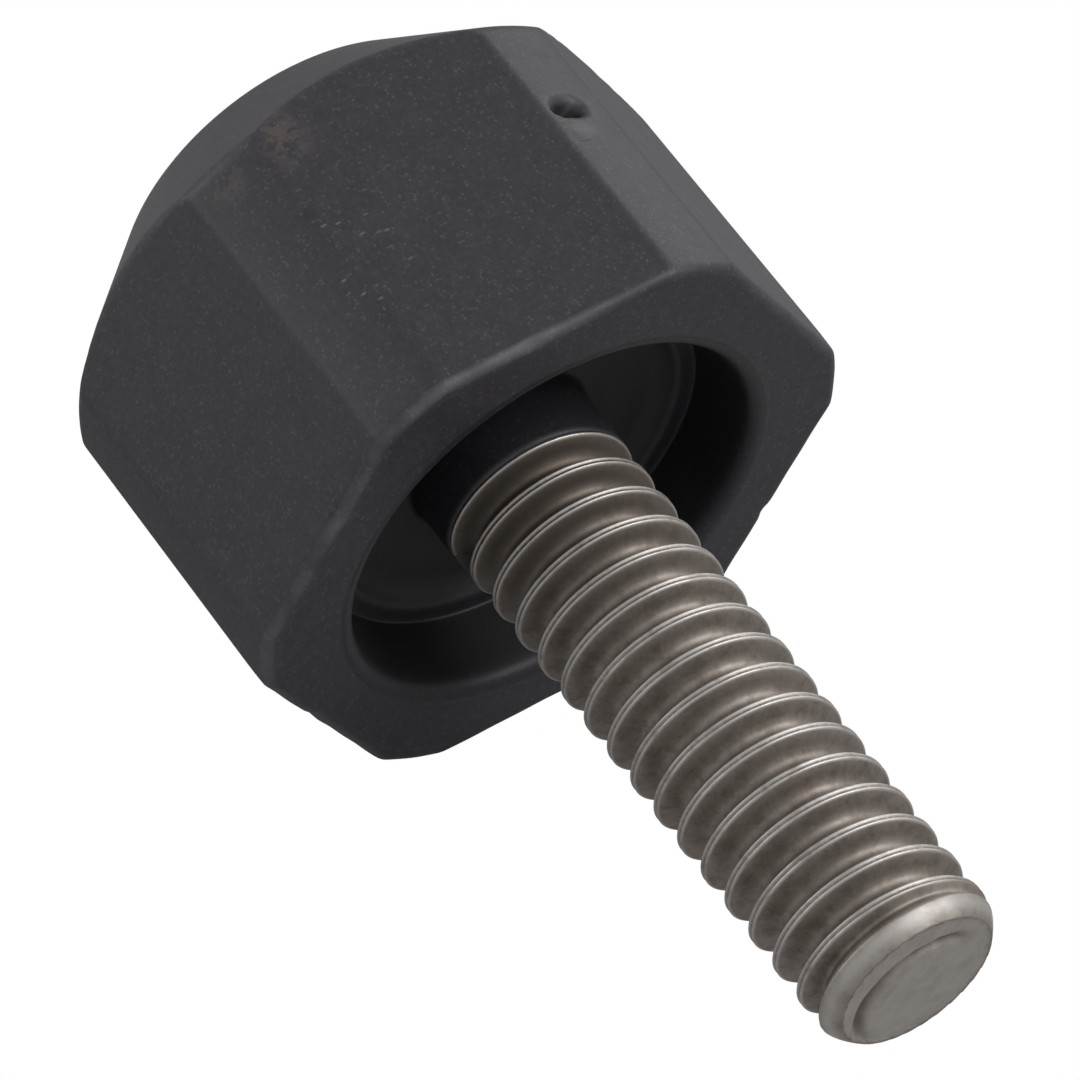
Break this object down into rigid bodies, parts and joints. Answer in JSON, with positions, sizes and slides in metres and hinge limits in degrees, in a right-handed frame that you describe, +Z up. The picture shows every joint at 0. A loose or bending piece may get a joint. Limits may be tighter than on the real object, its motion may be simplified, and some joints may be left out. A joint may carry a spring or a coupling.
{
  "type": "impeller screw",
  "caption": "Hex-headed pump impeller screw: a black moulded head with a recessed underside on a left-hand stainless thread.",
  "frame": {"origin": "middle of the bounding box's bottom, on the surface the head's lower flat rests on", "axes": "+X along the thread towards its tip, +Z up out of the flat the screw lies on"},
  "size_m": [0.0348, 0.0206, 0.019],
  "materials": {
    "head_plastic": "matte, glass-speckled black moulding",
    "stainless": "dull rolled stainless"
  },
  "bodies": {
    "root": {"moulded_head": "head_plastic", "threaded_screw": "stainless"}
  },
  "joints": []
}
